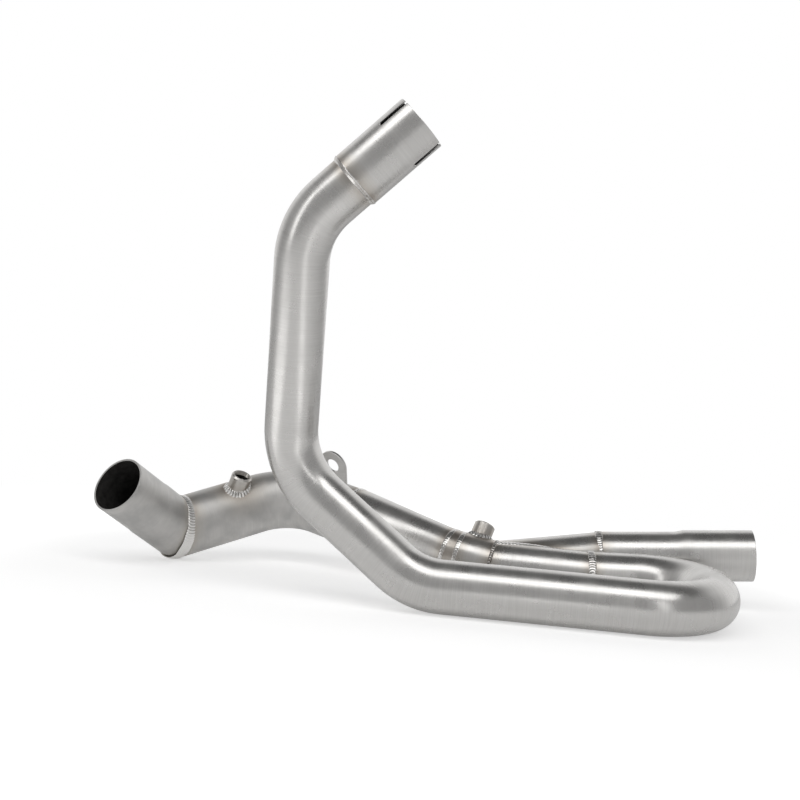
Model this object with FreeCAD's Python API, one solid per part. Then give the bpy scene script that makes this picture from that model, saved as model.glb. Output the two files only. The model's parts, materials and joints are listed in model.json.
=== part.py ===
import FreeCAD, Part
import math
import os

# Motorcycle link pipe: two header inlets, a merge collector and one outlet.
# Millimetres. X runs along the front leg, Y away from it, Z up from the floor it lies on.
# The runs are laid out from the corner where the diagonal run meets the front leg; the finished
# part is then moved so that the origin is on the floor under its middle.

# Header tube stock
tube_diameter = 50.0
tube_wall = 1.2
bend_radius = 74.0

# Loop tube, from corner to corner of its centre line
front_leg_length = 279.0
return_spacing = 140.0
return_rise = 7.0
return_toe = 3.0
back_leg_length = 112.0
back_leg_toe = 9.0
back_leg_drop = 4.0
diagonal_reach = 128.5
diagonal_offset = 13.5
diagonal_rise = 95.5
upright_rise = 221.5
upright_lean_right = 10.5
upright_lean_front = 66.5
rear_run = 136.0
rear_pitch = 44.7
rear_yaw = 1.2

# Slip-on sockets for the two header pipes
socket_clearance = 0.4
socket_wall = 1.2
rear_socket_length = 78.0
rear_socket_lap = 12.0
lap_clearance = 0.1
slot_count = 3
slot_width = 4.5
slot_length = 30.0
slot_clock = 46.0
front_socket_length = 70.0
swage_length = 9.0

# Front inlet, placed against the end of the loop tube
inlet_gap = 7.0
inlet_clock = 14.8
inlet_stagger = 9.5
inlet_length = 157.5
inlet_drift = 4.0
inlet_rise = 14.0

# Merge collector
collector_diameter = 52.0
collector_wall = 1.5
collector_length = 100.0
collector_shift = 11.0
collector_lift = 1.6
branch_diameter = 49.0
crotch_weld_stop = 15.0
collector_outlet_length = 34.0
collector_heading = 7.0
collector_climb = 9.0
wedge_length = 11.0

# Riser cone and outlet
outlet_diameter = 63.5
outlet_wall = 2.0
outlet_bend_radius = 70.0
riser_run = 206.0
riser_heading = 22.0
riser_climb = 10.8
riser_land = 8.0
crest_run = 44.0
outlet_reach = 107.5
outlet_inset = 69.0
stub_step = 1.6
stub_wall = 2.0
stub_length = 99.5
stub_heading = -61.4
stub_climb = 29.5
spigot_length = 50.0
spigot_step = 0.5
spigot_taper = 3.0

# Sensor bosses
boss_diameter = 22.0
boss_height = 15.0
boss_bore = 16.5
boss_chamfer = 1.5
outlet_boss_place = 60.0
outlet_boss_clock = 30.0
outlet_boss_lean = 21.0
collector_boss_place = 22.0
collector_boss_clock = -26.0
collector_boss_lean = -5.0

# Hanger tab
tab_width = 33.0
tab_hole = 15.0
tab_thickness = 3.0
tab_hole_height = 28.0
tab_place = 24.0
tab_clock = 28.0

# Weld beads: a low crown over the joint, with a root that reaches down to both pieces
bead_width = 5.4
bead_flat = 2.0
bead_crown = 1.3
bead_root = 3.0
boss_bead_leg = 3.0
tab_bead_leg = 3.0

UP = FreeCAD.Vector(0, 0, 1)
FRONT = FreeCAD.Vector(0, -1, 0)
tube_radius = tube_diameter / 2
socket_bore_radius = tube_radius + socket_clearance
socket_radius = socket_bore_radius + socket_wall
branch_radius = branch_diameter / 2
collector_radius = collector_diameter / 2
outlet_radius = outlet_diameter / 2
stub_radius = outlet_radius - stub_step
spigot_radius = stub_radius - spigot_step
boss_radius = boss_diameter / 2
bore_radius = boss_bore / 2


def vec(x, y, z):
    return FreeCAD.Vector(x, y, z)


def unit(v):
    return v / v.Length


def across(v, axis):
    """Unit vector of v's share that is square to an axis."""
    axis = unit(axis)
    return unit(v - axis * v.dot(axis))


def towards(heading, climb):
    """Direction of a run that goes left, turned away from the front by heading, and climbs."""
    h = math.radians(heading)
    c = math.radians(climb)
    return vec(-math.cos(c) * math.cos(h), math.cos(c) * math.sin(h), math.sin(c))


def radial(axis, clock):
    """Direction square to an axis, turned from upright towards the front by clock degrees."""
    top = across(UP, axis)
    side = across(FRONT - top * FRONT.dot(top), axis)
    return top * math.cos(math.radians(clock)) + side * math.sin(math.radians(clock))


def half_turn(before, after):
    """Tangent of half the turn between two runs: an arc's reach from its corner, per radius."""
    return math.tan(before.getAngle(after) / 2)


def bent_line(corners, radii):
    """Straight runs between corners, with an arc of the given radius at each inner corner."""
    edges = []
    start = corners[0]
    for before, corner, after, radius in zip(corners, corners[1:], corners[2:], radii):
        inward = unit(before - corner)
        outward = unit(after - corner)
        reach = radius * half_turn(corner - before, after - corner)
        half_angle = inward.getAngle(outward) / 2
        arc_start = corner + inward * reach
        arc_middle = corner + unit(inward + outward) * (radius / math.sin(half_angle) - radius)
        arc_end = corner + outward * reach
        if not start.isEqual(arc_start, 0.001):
            edges.append(Part.makeLine(start, arc_start))
        edges.append(Part.Arc(arc_start, arc_middle, arc_end).toShape())
        start = arc_end
    edges.append(Part.makeLine(start, corners[-1]))
    return Part.Wire(edges)


def swept(line, start, direction, radius):
    """Round bar along a line that leaves its start in the given direction."""
    return line.makePipe(Part.Face(Part.Wire(Part.makeCircle(radius, start, direction))))


def rod(start, end, radius):
    return Part.makeCylinder(radius, (end - start).Length, start, end - start)


def turned(start, axis, profile):
    """Solid turned about an axis, from (distance along the axis, radius) pairs."""
    axis = unit(axis)
    side = across(FRONT, axis)
    rim = [start + axis * s + side * r for s, r in profile]
    ends = [start + axis * profile[-1][0], start + axis * profile[0][0]]
    return Part.Face(Part.makePolygon(rim + ends + rim[:1])).revolve(start, axis, 360)


def round_ended(corner, axis, profile):
    """Solid turned about an axis from (distance, radius) pairs, with a half sphere past the corner."""
    axis = unit(axis)
    side = across(FRONT, axis)
    rim = [corner + axis * s + side * r for s, r in profile]
    tip = corner - axis * profile[0][1]
    shoulder = corner + unit(side - axis) * profile[0][1]
    far = corner + axis * profile[-1][0]
    edges = [Part.Arc(tip, shoulder, rim[0]).toShape()]
    for start, end in zip(rim + [far], rim[1:] + [far, tip]):
        edges.append(Part.makeLine(start, end))
    return Part.Face(Part.Wire(edges)).revolve(corner, axis, 360)


def beyond(point, normal):
    """Block that fills the side of a plane that its normal points to."""
    size = riser_run + outlet_diameter
    block = Part.makeBox(2 * size, 2 * size, size, vec(-size, -size, 0))
    block.Placement = FreeCAD.Placement(point, FreeCAD.Rotation(UP, unit(normal)))
    return block


def one_solid(shape):
    """The main solid of a cut, without slivers."""
    return max(shape.Solids, key=lambda solid: solid.Volume)


def bead_on(shape, seats):
    """Weld bead cut back to the surfaces that it lies on."""
    return one_solid(shape.cut(seats))


def bead_section(point, along, outward, low, high):
    """Section of a bead: low and high are how far outward its two edges lie from the point.

    The flanks run on below the edges, down to the root, so that they meet any surface there."""
    crown = max(low, high) + bead_crown
    root = min(low, high) - bead_root
    flank = (bead_width - bead_flat) / 2
    low_reach = bead_width / 2 + flank * (low - root) / (crown - low)
    high_reach = bead_width / 2 + flank * (high - root) / (crown - high)
    outline = [point + along * s + outward * h for s, h in (
        (-low_reach, root), (-bead_flat / 2, crown), (bead_flat / 2, crown), (high_reach, root))]
    return Part.Face(Part.makePolygon(outline + outline[:1]))


def ring_bead(point, normal, low_radius, high_radius, seats):
    """Weld bead round a joint between two tubes, on the joint's plane."""
    section = bead_section(point, unit(normal), across(UP, normal), low_radius, high_radius)
    return bead_on(section.revolve(point, unit(normal), 360), seats)


pieces = {}

# Loop tube: one length of tube, bent from the rear socket to the collector
front_left = vec(0, 0, tube_radius)
front_right = front_left + vec(front_leg_length, 0, 0)
return_corner = front_right + vec(-return_toe, return_spacing, return_rise)
loop_end = return_corner + vec(-back_leg_length, -back_leg_toe, -back_leg_drop)
upright_foot = front_left + vec(-diagonal_reach, diagonal_offset, diagonal_rise)
upright_head = upright_foot + vec(upright_lean_right, -upright_lean_front, upright_rise)
rear_axis = towards(180 - rear_yaw, rear_pitch)
rear_mouth = upright_head + rear_axis * rear_run
rear_joint = rear_mouth - rear_axis * rear_socket_length
rear_end = rear_joint + rear_axis * rear_socket_lap

# The return bend is as wide as the two legs leave room for, so its two quarters meet
crossing = return_corner - front_right
return_radius = crossing.Length / (
    half_turn(front_right - front_left, crossing) + half_turn(crossing, loop_end - return_corner))

loop_corners = [rear_end, upright_head, upright_foot, front_left, front_right, return_corner, loop_end]
loop_radii = [bend_radius, bend_radius, bend_radius, return_radius, return_radius]
loop_line = bent_line(loop_corners, loop_radii)
loop_bar = swept(loop_line, rear_end, -rear_axis, tube_radius)
loop_core = swept(loop_line, rear_end, -rear_axis, tube_radius - tube_wall)
pieces["loop_tube"] = loop_bar.cut(loop_core)

# Rear socket: slides over the loop tube's end, slotted so that a clamp can close it
socket_bar = rod(rear_joint, rear_mouth, socket_radius)
rear_socket = socket_bar.cut(rod(rear_joint, rear_end, tube_radius + lap_clearance))
rear_socket = rear_socket.cut(rod(rear_end, rear_mouth, socket_bore_radius))
slot_end = rear_mouth - rear_axis * (slot_length - slot_width / 2)
for step in range(slot_count):
    outward = radial(rear_axis, slot_clock + step * 360 / slot_count)
    sideways = outward.cross(rear_axis)
    corner = slot_end - sideways * (slot_width / 2)
    slot = Part.makeBox(slot_width, socket_radius * 2, slot_length)
    slot.Placement = FreeCAD.Placement(corner, FreeCAD.Rotation(sideways, outward, rear_axis, "ZXY"))
    slot = slot.fuse(rod(slot_end, slot_end + outward * socket_radius * 2, slot_width / 2))
    rear_socket = rear_socket.cut(slot)
pieces["rear_socket"] = rear_socket
pieces["rear_socket_weld"] = ring_bead(
    rear_joint, rear_axis, tube_radius, socket_radius, [loop_bar, socket_bar])

# Front inlet: straight tube, swaged out at its mouth to take the front header
spacing = tube_diameter + inlet_gap
clock = math.radians(inlet_clock)
inlet_joint = loop_end + vec(inlet_stagger, spacing * math.cos(clock), spacing * math.sin(clock))
inlet_mouth = inlet_joint + vec(inlet_length, inlet_drift, inlet_rise)
inlet_axis = unit(inlet_mouth - inlet_joint)
inlet_run = (inlet_mouth - inlet_joint).Length
swage_end = inlet_run - front_socket_length
swage_start = swage_end - swage_length
inlet_bar = turned(inlet_joint, inlet_axis, [
    (0, tube_radius), (swage_start, tube_radius), (swage_end, socket_radius), (inlet_run, socket_radius)])
inlet_core = turned(inlet_joint, inlet_axis, [
    (0, tube_radius - tube_wall), (swage_start, tube_radius - tube_wall),
    (swage_end, socket_bore_radius), (inlet_run, socket_bore_radius)])
pieces["front_inlet_tube"] = inlet_bar.cut(inlet_core)

# Merge collector: two tubes that close in on the middle of the collector ring, each cut back to
# the plane half-way between them, so that they join along half an ellipse
collector_ring = vec(loop_end.x - collector_length, loop_end.y + collector_shift,
                     collector_radius + collector_lift)
outlet_axis = towards(collector_heading, collector_climb)
back_leg_axis = unit(loop_end - return_corner)
lower_axis = unit(loop_end - collector_ring)
upper_axis = unit(inlet_joint - collector_ring)
merge_axis = unit(lower_axis + upper_axis)
merge_normal = unit(upper_axis - lower_axis)


lower_side = beyond(collector_ring, -merge_normal)
upper_side = beyond(collector_ring, merge_normal)


def branch(joint, joint_axis, other_side, radius):
    """Solid of one branch, from its joint to the ring and to the plane that the two share."""
    spare = unit(joint - collector_ring) * collector_length
    bar = rod(collector_ring - spare, joint + spare, radius)
    return bar.cut(beyond(joint, joint_axis)).cut(beyond(collector_ring, outlet_axis)).cut(other_side)


lower_bar = branch(loop_end, -back_leg_axis, upper_side, branch_radius)
upper_bar = branch(inlet_joint, inlet_axis, lower_side, branch_radius)
pieces["collector_lower_branch"] = lower_bar.cut(
    branch(loop_end, -back_leg_axis, upper_side, branch_radius - tube_wall))
pieces["collector_upper_branch"] = upper_bar.cut(
    branch(inlet_joint, inlet_axis, lower_side, branch_radius - tube_wall))
pieces["loop_collector_weld"] = ring_bead(
    loop_end, back_leg_axis, tube_radius, tube_radius, [loop_bar, lower_bar, upper_side])
pieces["inlet_collector_weld"] = ring_bead(
    inlet_joint, inlet_axis, tube_radius, tube_radius, [inlet_bar, upper_bar, lower_side])

# Collector outlet: short tube from the ring to the wedge that turns the run to the riser
wedge_start = collector_ring + outlet_axis * collector_outlet_length
riser_axis = towards(riser_heading, riser_climb)
wedge_axis = unit(outlet_axis + riser_axis)
wedge_end = wedge_start + wedge_axis * wedge_length
wedge_start_normal = unit(outlet_axis + wedge_axis)
wedge_end_normal = unit(wedge_axis + riser_axis)


def mitred(start, start_normal, end, end_normal, radius):
    """Round bar between two slanted planes."""
    spare = unit(end - start) * radius
    bar = rod(start - spare, end + spare, radius)
    return bar.cut(beyond(start, -start_normal)).cut(beyond(end, end_normal))


def mitred_tube(start, start_normal, end, end_normal, radius, wall):
    outside = mitred(start, start_normal, end, end_normal, radius)
    return outside, outside.cut(mitred(start, start_normal, end, end_normal, radius - wall))


outlet_bar, collector_outlet = mitred_tube(
    collector_ring, outlet_axis, wedge_start, wedge_start_normal, collector_radius, collector_wall)
wedge_bar, collector_wedge = mitred_tube(
    wedge_start, wedge_start_normal, wedge_end, wedge_end_normal, collector_radius, collector_wall)

# Outlet tube: bent over its crest, down to a mitred corner whose outside is dressed round
crest = wedge_end + riser_axis * riser_run
outlet_corner = vec(crest.x - outlet_reach, crest.y - outlet_inset, outlet_radius + bead_crown)
stub_axis = towards(stub_heading, stub_climb)
stub_mouth = outlet_corner + stub_axis * stub_length
from_corner = unit(crest - outlet_corner)
mitre_normal = unit(from_corner - stub_axis)
crest_reach = outlet_bend_radius * half_turn(riser_axis, -from_corner)
riser_end = crest - riser_axis * (crest_reach + crest_run)
elbow_start = outlet_corner + from_corner * outlet_radius
outlet_line = bent_line([riser_end, crest, elbow_start], [outlet_bend_radius])


def outlet_side(wall):
    """Bar of the outlet tube, drawn in by a wall: the bent run, then the elbow's mitred half."""
    radius = outlet_radius - wall
    elbow = round_ended(outlet_corner, from_corner, [(0, radius), (outlet_radius, radius)])
    elbow = elbow.cut(beyond(outlet_corner, -mitre_normal))
    return swept(outlet_line, riser_end, riser_axis, radius).fuse(elbow)


def stub_side(wall):
    """Bar of the stub, drawn in by a wall: the other half of the elbow, and a sized spigot end."""
    spigot_start = stub_length - spigot_length
    bar = round_ended(outlet_corner, stub_axis, [
        (0, stub_radius - wall), (spigot_start - spigot_taper, stub_radius - wall),
        (spigot_start, spigot_radius - wall), (stub_length, spigot_radius - wall)])
    return bar.cut(beyond(outlet_corner, mitre_normal))


crest_bar = outlet_side(0.0)
outlet_tube = crest_bar.cut(outlet_side(outlet_wall))
stub_bar = stub_side(0.0)
pieces["outlet_stub"] = stub_bar.cut(stub_side(stub_wall))

# Riser cone, with a short straight land at each end
riser_length = (riser_end - wedge_end).Length


def riser(wall):
    small = collector_radius - wall
    large = outlet_radius - wall
    return turned(wedge_end, riser_axis, [
        (-riser_land, small), (riser_land, small),
        (riser_length - riser_land, large), (riser_length, large)]).cut(beyond(wedge_end, -wedge_end_normal))


riser_bar = riser(0.0)
pieces["riser_cone"] = riser_bar.cut(riser(collector_wall))
pieces["collector_wedge"] = collector_wedge
pieces["collector_ring_weld"] = ring_bead(
    collector_ring, outlet_axis, collector_radius, collector_radius, [lower_bar, upper_bar, outlet_bar])
pieces["wedge_inner_weld"] = ring_bead(
    wedge_start, wedge_start_normal, collector_radius, collector_radius, [outlet_bar, wedge_bar])
pieces["wedge_outer_weld"] = ring_bead(
    wedge_end, wedge_end_normal, collector_radius, collector_radius, [wedge_bar, riser_bar])
pieces["riser_weld"] = ring_bead(riser_end, riser_axis, outlet_radius, outlet_radius, [riser_bar, crest_bar])

# Mitre weld: follows the corner's outline, half an ellipse inside and half a circle outside
bend_axis = unit(from_corner.cross(stub_axis))
inside = unit(from_corner + stub_axis)
long_radius = outlet_radius / math.sin(from_corner.getAngle(stub_axis) / 2)
seam_oval = Part.Ellipse(outlet_corner + inside * long_radius, outlet_corner + bend_axis * outlet_radius,
                         outlet_corner)
seam_start = outlet_corner - bend_axis * outlet_radius
seam_line = Part.Wire([
    Part.ArcOfEllipse(seam_oval, -math.pi / 2, math.pi / 2).toShape(),
    Part.Arc(outlet_corner + bend_axis * outlet_radius, outlet_corner - inside * outlet_radius,
             seam_start).toShape()])
mitre_bead = seam_line.makePipe(bead_section(seam_start, mitre_normal, -bend_axis, 0.0, 0.0))
pieces["mitre_weld"] = bead_on(mitre_bead, [crest_bar, stub_bar])

# Crotch seams: one bead along the top and one along the bottom of the joint between the branches,
# each from the ring to near the tip of their shared ellipse
crotch_tip = collector_ring + merge_axis * (branch_radius / math.sin(lower_axis.getAngle(upper_axis) / 2))
for name, side in (("top", UP), ("bottom", -UP)):
    rise = across(side - merge_normal * side.dot(merge_normal), merge_axis)
    crotch_start = collector_ring + rise * branch_radius
    crotch_oval = Part.Ellipse(crotch_tip, crotch_start, collector_ring)
    crotch_line = Part.Wire(Part.ArcOfEllipse(
        crotch_oval, math.radians(crotch_weld_stop), math.pi / 2).toShape())
    crotch_line.reverse()
    crotch_bead = crotch_line.makePipe(bead_section(crotch_start, merge_normal, rise, 0.0, 0.0))
    seats = [lower_bar, upper_bar, outlet_bar, pieces["collector_ring_weld"]]
    pieces["crotch_seam_weld_" + name] = bead_on(crotch_bead, seats)


def boss(foot, axis, radius, clock, lean, tube_bar, neighbours):
    """Sensor boss on a tube: the boss, its fillet weld and its bore."""
    tilt = math.radians(lean)
    direction = radial(axis, clock) * math.cos(tilt) + unit(axis) * math.sin(tilt)
    surface = radius / math.cos(tilt)
    head = surface + boss_height
    blank = turned(foot, direction, [
        (0, boss_radius), (head - boss_chamfer, boss_radius), (head, boss_radius - boss_chamfer)])
    bore = rod(foot, foot + direction * (head + boss_chamfer), bore_radius)
    leg_radius = boss_radius + boss_bead_leg
    saddle = radius - math.sqrt(radius ** 2 - leg_radius ** 2) + leg_radius * abs(math.tan(tilt))
    fillet = turned(foot, direction, [
        (surface - saddle, leg_radius), (surface, leg_radius), (surface + boss_bead_leg, boss_radius)])
    return one_solid(blank.cut(tube_bar).cut(bore)), bead_on(fillet, [tube_bar, blank] + neighbours), bore


outlet_boss_foot = outlet_corner + from_corner * outlet_boss_place
pieces["outlet_sensor_boss"], pieces["outlet_boss_weld"], outlet_bore = boss(
    outlet_boss_foot, from_corner, outlet_radius, outlet_boss_clock, outlet_boss_lean, crest_bar, [])
pieces["outlet_tube"] = outlet_tube.cut(outlet_bore)

collector_boss_foot = collector_ring + outlet_axis * collector_boss_place
pieces["collector_sensor_boss"], pieces["collector_boss_weld"], collector_bore = boss(
    collector_boss_foot, outlet_axis, collector_radius, collector_boss_clock, collector_boss_lean, outlet_bar,
    [wedge_bar, pieces["wedge_inner_weld"], pieces["collector_ring_weld"]])
pieces["collector_outlet"] = collector_outlet.cut(collector_bore)

# Hanger tab: flat plate along the crest, with a round end and a round hole
tab_foot = riser_end + riser_axis * tab_place
tab_up = radial(riser_axis, tab_clock)
tab_face = riser_axis.cross(tab_up)
hole_centre = tab_foot + tab_up * (outlet_radius + tab_hole_height)
tab_side = riser_axis * (tab_width / 2)
tab_top = hole_centre + tab_up * (tab_width / 2)
tab_lift = tab_face * (tab_thickness / 2)
tab_outline = Part.Wire([
    Part.makeLine(tab_foot - tab_side, hole_centre - tab_side),
    Part.Arc(hole_centre - tab_side, tab_top, hole_centre + tab_side).toShape(),
    Part.makeLine(hole_centre + tab_side, tab_foot + tab_side),
    Part.makeLine(tab_foot + tab_side, tab_foot - tab_side)])
tab_outline.translate(-tab_lift)
tab_plate = Part.Face(tab_outline).extrude(tab_face * tab_thickness)
tab_plate = tab_plate.cut(rod(hole_centre - tab_lift * 2, hole_centre + tab_lift * 2, tab_hole / 2))
pieces["hanger_tab"] = one_solid(tab_plate.cut(crest_bar).cut(riser_bar))

# Tab weld: a fillet all round the tab's foot
tab_bead_half = tab_thickness / 2 + tab_bead_leg
tab_bead_drop = outlet_radius - math.sqrt(outlet_radius ** 2 - tab_bead_half ** 2)
bead_start = tab_foot - riser_axis * (tab_width / 2 + tab_bead_leg)
low = outlet_radius - tab_bead_drop
high = outlet_radius + tab_bead_leg
bead_outline = [
    bead_start + tab_face * across_face + tab_up * height for across_face, height in (
        (-tab_bead_half, low), (tab_bead_half, low),
        (tab_thickness / 2, high), (-tab_thickness / 2, high))]
tab_bead = Part.Face(Part.makePolygon(bead_outline + bead_outline[:1]))
tab_bead = tab_bead.extrude(riser_axis * (tab_width + 2 * tab_bead_leg))
tab_seats = [crest_bar, riser_bar, pieces["hanger_tab"], pieces["riser_weld"]]
pieces["hanger_tab_weld"] = bead_on(tab_bead, tab_seats)

box = Part.makeCompound(list(pieces.values())).optimalBoundingBox(False, False)
to_origin = vec(-box.Center.x, -box.Center.y, -box.ZMin)

os.makedirs("parts", exist_ok=True)
for name, shape in pieces.items():
    shape.translate(to_origin)
    shape.exportStep("parts/" + name + ".step")
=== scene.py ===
import json
import math
from collections import namedtuple
from types import SimpleNamespace

import bpy
from mathutils import Matrix, Quaternion, Vector, kdtree


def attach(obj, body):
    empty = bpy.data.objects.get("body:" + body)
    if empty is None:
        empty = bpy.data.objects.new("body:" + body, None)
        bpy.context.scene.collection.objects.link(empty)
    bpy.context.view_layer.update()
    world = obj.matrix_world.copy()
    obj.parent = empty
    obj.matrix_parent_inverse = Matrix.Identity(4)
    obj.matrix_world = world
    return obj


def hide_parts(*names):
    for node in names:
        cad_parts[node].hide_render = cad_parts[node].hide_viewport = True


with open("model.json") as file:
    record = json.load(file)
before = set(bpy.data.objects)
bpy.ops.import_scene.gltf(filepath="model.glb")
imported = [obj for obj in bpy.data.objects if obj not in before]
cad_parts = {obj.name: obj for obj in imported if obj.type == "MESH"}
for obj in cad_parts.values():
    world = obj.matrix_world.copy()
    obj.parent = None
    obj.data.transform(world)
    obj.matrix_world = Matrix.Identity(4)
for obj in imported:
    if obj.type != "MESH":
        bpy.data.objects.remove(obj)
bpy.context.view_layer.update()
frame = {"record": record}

bl_info = {
    "name": "Link pipe",
    "version": (1, 0, 0),
    "blender": (4, 5, 0),
    "location": "View3D > Sidebar > Link pipe",
    "description": "Models a welded stainless motorcycle link pipe on its CAD frame",
    "category": "Object",
}

MM = 0.001
UP = Vector((0, 0, 1))
FRONT = Vector((0, -1, 0))
mounts = {mount["name"]: mount for mount in frame["record"]["mounts"]}

# How finely the metal is divided
TUBE_SIDES = 96
BOSS_SIDES = 72
TAB_SIDES = 64
BEAD_SIDES = 16
RIPPLE_FACES = 6
DOME_STEPS = 8
RING_STEP = 8 * MM
BEND_STEP = math.radians(4)
HEAT_STEP = 3 * MM

# Tolerances: a share of a step, lengths that count as nothing, and points that are merged
STEP_SLACK = 1e-6
CLOSE = 0.01 * MM
MERGE_DISTANCE = 0.002 * MM

# Angles between faces: shaded smooth below the first two, and broken with a bevel above the third
SMOOTH_ANGLE = math.radians(20)
BEAD_SMOOTH_ANGLE = math.radians(60)
EDGE_ANGLE = math.radians(50)


def length(name, description, millimetres):
    """Property for a length, given in millimetres and kept in metres."""
    return bpy.props.FloatProperty(
        name=name, description=description, default=millimetres * MM, precision=5, unit="LENGTH")


def angle(name, description, degrees):
    """Property for an angle, given in degrees."""
    return bpy.props.FloatProperty(
        name=name, description=description, default=math.radians(degrees), subtype="ANGLE")


def colour(name, description, rgb):
    """Property for a colour."""
    return bpy.props.FloatVectorProperty(
        name=name, description=description, default=rgb, size=3, min=0, max=1, subtype="COLOR")


def share(name, description, value):
    """Property for a share from 0 to 1."""
    return bpy.props.FloatProperty(
        name=name, description=description, default=value, min=0, max=1, subtype="FACTOR")


def number(name, description, value):
    """Property for a plain number."""
    return bpy.props.FloatProperty(name=name, description=description, default=value)


class LoopSizes(bpy.types.PropertyGroup):
    """Loop tube and its sockets"""
    tube_diameter: length("Tube diameter", "Outside of the header tube", 50)
    tube_wall: length("Tube wall", "Wall of the header tube", 1.2)
    bend_radius: length("Bend radius", "Centre line radius of the bends", 74)
    front_leg: length("Front leg", "Corner to corner of the front leg", 279)
    return_spacing: length("Return spacing", "How far the back leg lies behind the front leg", 140)
    return_rise: length("Return rise", "How much higher the return bend ends", 7)
    return_toe: length("Return toe", "How far the return bend leans left", 3)
    back_leg: length("Back leg", "Length of the back leg", 112)
    back_leg_toe: length("Back leg toe", "How far the back leg comes forward", 9)
    back_leg_drop: length("Back leg drop", "How far the back leg drops", 4)
    diagonal_reach: length("Diagonal reach", "How far left the diagonal run goes", 128.5)
    diagonal_offset: length("Diagonal offset", "How far back the diagonal run goes", 13.5)
    diagonal_rise: length("Diagonal rise", "How high the diagonal run climbs", 95.5)
    upright_rise: length("Upright rise", "Height of the upright", 221.5)
    upright_lean_right: length("Upright lean right", "How far right the upright leans", 10.5)
    upright_lean_front: length("Upright lean front", "How far forward the upright leans", 66.5)
    rear_run: length("Rear run", "From the upright's head to the rear mouth", 136)
    socket_wall: length("Socket wall", "Wall of the slip-on sockets", 1.2)
    socket_length: length("Rear socket", "Length of the rear socket", 78)
    socket_lap: length("Rear lap", "How far the loop tube goes into the rear socket", 12)
    slot_width: length("Slot width", "Width of a clamp slot", 4.5)
    slot_length: length("Slot length", "Length of a clamp slot", 30)
    slot_clock: angle("Slot clock", "Turn of the first slot from upright to the front", 46)
    slot_count: bpy.props.IntProperty(name="Slots", description="Number of clamp slots", default=3)
    inlet_stagger: length("Inlet stagger", "How far the front inlet starts to the right", 9.5)
    inlet_gap: length("Inlet gap", "Gap between the two tubes that merge", 7)
    inlet_clock: angle("Inlet clock", "How far the front inlet lies above the loop tube's end", 14.8)
    swage_length: length("Swage", "Length of the cone before the front socket", 9)


class OutletSizes(bpy.types.PropertyGroup):
    """Collector, riser and outlet"""
    branch_diameter: length("Branch diameter", "Outside of the collector's branches", 49)
    collector_diameter: length("Collector diameter", "Outside of the collector's outlet", 52)
    collector_wall: length("Collector wall", "Wall of the collector's outlet and riser", 1.5)
    collector_length: length("Collector length", "From the branches' joint to the ring", 100)
    collector_shift: length("Collector shift", "How far back the ring lies", 11)
    collector_lift: length("Collector lift", "Gap below the ring", 1.6)
    collector_outlet: length("Collector outlet", "From the ring to the wedge", 34)
    collector_heading: angle("Collector heading", "Turn of the collector's outlet to the back", 7)
    collector_climb: angle("Collector climb", "Climb of the collector's outlet", 9)
    wedge_length: length("Wedge", "Length of the wedge ring", 11)
    outlet_diameter: length("Outlet diameter", "Outside of the outlet tube", 63.5)
    outlet_wall: length("Outlet wall", "Wall of the outlet tube and stub", 2)
    outlet_bend: length("Outlet bend", "Centre line radius of the outlet's crest", 70)
    riser_run: length("Riser run", "From the wedge to the crest's corner", 206)
    riser_heading: angle("Riser heading", "Turn of the riser to the back", 22)
    riser_climb: angle("Riser climb", "Climb of the riser", 10.8)
    riser_land: length("Riser land", "Straight stretch at each end of the riser's cone", 8)
    crest_run: length("Crest run", "Straight stretch before the crest's bend", 44)
    stub_step: length("Stub step", "How much smaller in radius the stub is", 1.6)
    stub_length: length("Stub length", "From the mitred corner to the mouth", 99.5)
    spigot_taper: length("Spigot taper", "Length of the step to the sized end", 3)
    boss_diameter: length("Boss diameter", "Outside of a sensor boss", 22)
    boss_height: length("Boss height", "Height of a sensor boss on its tube", 15)
    boss_chamfer: length("Boss chamfer", "Chamfer on a sensor boss", 1.5)
    boss_sink: length("Boss sink", "How far a sensor boss is sunk into its tube", 0.3)
    thread_pitch: length("Thread pitch", "Pitch of the sensor threads", 1.5)
    thread_depth: length("Thread depth", "Depth of the sensor threads", 0.5)
    # Deeper than this, the threads take the bore's painted shade
    thread_shown: length("Thread shown", "How deep the threads are clean of soot", 5)
    tab_width: length("Tab width", "Width of the hanger tab", 33)
    tab_sink: length("Tab sink", "How far the tab's foot is sunk into the weld", 1)
    edge_break: length("Edge break", "Bevel on cut edges", 0.35)


class WeldSizes(bpy.types.PropertyGroup):
    """Weld beads"""
    width: length("Width", "Width of a bead on a butt joint", 5)
    crown: length("Crown", "Height of a bead over the tubes", 0.85)
    browned_width: length("Browned width", "Width of the browned beads behind the collector", 7.6)
    flush_crown: length("Flush crown", "Height of the wedge's beads, dressed nearly flush", 0.5)
    thin_width: length("Thin width", "Width of the thin bead round the collector's ring", 3.6)
    crotch_width: length("Crotch width", "Width of the beads between the branches", 6.6)
    crotch_crown: length("Crotch crown", "Height of the beads between the branches", 1.7)
    mitre_width: length("Mitre width", "Width of the bead on the mitred corner", 12)
    mitre_crown: length("Mitre crown", "Height of the bead on the mitred corner", 1.2)
    root: length("Root", "Depth of a bead below the tubes", 1.4)
    ripple: length("Ripple", "Distance from one ripple to the next", 2.9)
    fillet_width: length("Fillet width", "Width of the fillet bead round a boss", 12.5)
    fillet_crown: length("Fillet crown", "Height of the fillet bead round a boss", 2.7)
    tab_width: length("Tab bead width", "Width of the fillet bead round the tab's foot", 5.2)
    tab_crown: length("Tab bead crown", "Height of the fillet bead round the tab's foot", 1.5)
    crotch_stop: angle("Crotch stop", "Where on their ellipse the crotch beads end", 15)
    heat_reach: length("Heat reach", "How far the heat tint goes from a bead", 16)
    boss_heat_reach: length("Boss heat reach", "How far the heat tint goes from a boss's bead", 30)


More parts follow.
